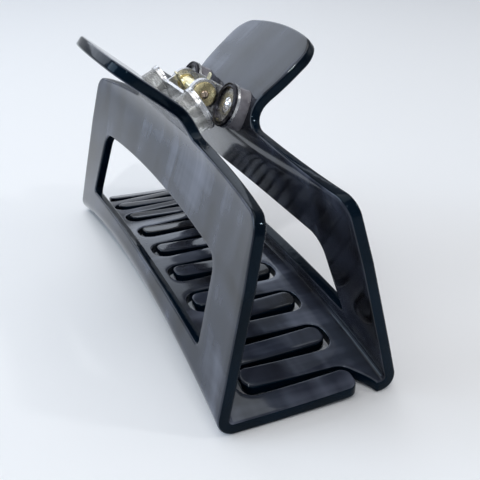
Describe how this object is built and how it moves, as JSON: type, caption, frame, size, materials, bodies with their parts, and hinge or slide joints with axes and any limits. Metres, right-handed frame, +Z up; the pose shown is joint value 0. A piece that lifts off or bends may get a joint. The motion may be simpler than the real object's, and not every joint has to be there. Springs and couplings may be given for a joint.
{
  "type": "claw clip",
  "caption": "Rectangular hair claw with two windowed, toothed jaws bent from acetate sheet on a sprung metal hinge, each with a flared handle.",
  "frame": {"origin": "on the table under the middle of the closed clip", "axes": "+X along the hinge and the length of the jaws, +Y across the clip to the right jaw, +Z up"},
  "size_m": [0.11, 0.0448, 0.0575],
  "materials": {
    "acetate": "polished, faintly marbled, slightly translucent",
    "spacer": "polished, smoky translucent",
    "collar": "mirror plated",
    "leaf": "plated, finely pitted",
    "rivet": "plated",
    "pin": "turned",
    "bush": "turned",
    "spring": "rolled strip, bright"
  },
  "bodies": {
    "left": {"left_jaw": "acetate", "left_front_spacer": "spacer", "left_rear_spacer": "spacer", "left_front_collar": "collar", "left_rear_collar": "collar", "left_leaf": "leaf", "left_rivets": "rivet", "hinge_pin": "pin", "front_bush": "bush", "rear_bush": "bush", "spring": "spring"},
    "right": {"right_jaw": "acetate", "right_front_spacer": "spacer", "right_rear_spacer": "spacer", "right_front_collar": "collar", "right_rear_collar": "collar", "right_leaf": "leaf", "right_rivets": "rivet"}
  },
  "joints": [
    {"name": "jaw_hinge", "type": "hinge", "parent": "left", "child": "right", "pos_m": [0, 0, 0.046], "axis": [1, 0, 0], "range_deg": [0, 60], "stiffness_Nm_per_rad": 0.06, "springref_deg": -45.84, "deforming": ["spring"]}
  ]
}
